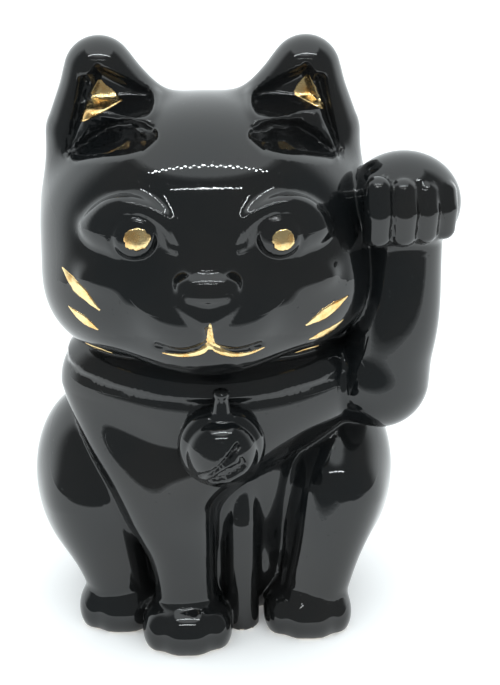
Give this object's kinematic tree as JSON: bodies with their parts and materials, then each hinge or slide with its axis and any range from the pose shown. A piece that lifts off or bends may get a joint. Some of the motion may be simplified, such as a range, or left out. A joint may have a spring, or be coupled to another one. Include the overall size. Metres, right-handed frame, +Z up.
{
  "type": "ceramic cat figurine",
  "caption": "Seated hollow ceramic cat in glossy black glaze, one foreleg raised beside its head, with a collar, a bell and gold brushwork.",
  "frame": {"origin": "on the plane the base rests on, under the middle of the body", "axes": "+Z up, the cat looks along -Y, and the raised foreleg is on +X"},
  "size_m": [0.1455, 0.1133, 0.2009],
  "materials": {
    "black_glaze": "high-gloss black glaze",
    "bare_clay": "unglazed fired clay",
    "gold_lustre": "fired gold lustre brushwork"
  },
  "bodies": {
    "root": {"casting_shell": "black_glaze", "raised_foreleg": "black_glaze", "bell": "black_glaze", "base_slab": "bare_clay", "gold_mouth": "gold_lustre", "gold_pupil_left": "gold_lustre", "gold_pupil_right": "gold_lustre", "gold_ear_left": "gold_lustre", "gold_ear_right": "gold_lustre", "gold_whisker_left_1": "gold_lustre", "gold_whisker_left_2": "gold_lustre", "gold_whisker_left_3": "gold_lustre", "gold_whisker_right_1": "gold_lustre", "gold_whisker_right_2": "gold_lustre", "gold_whisker_right_3": "gold_lustre"}
  },
  "joints": []
}
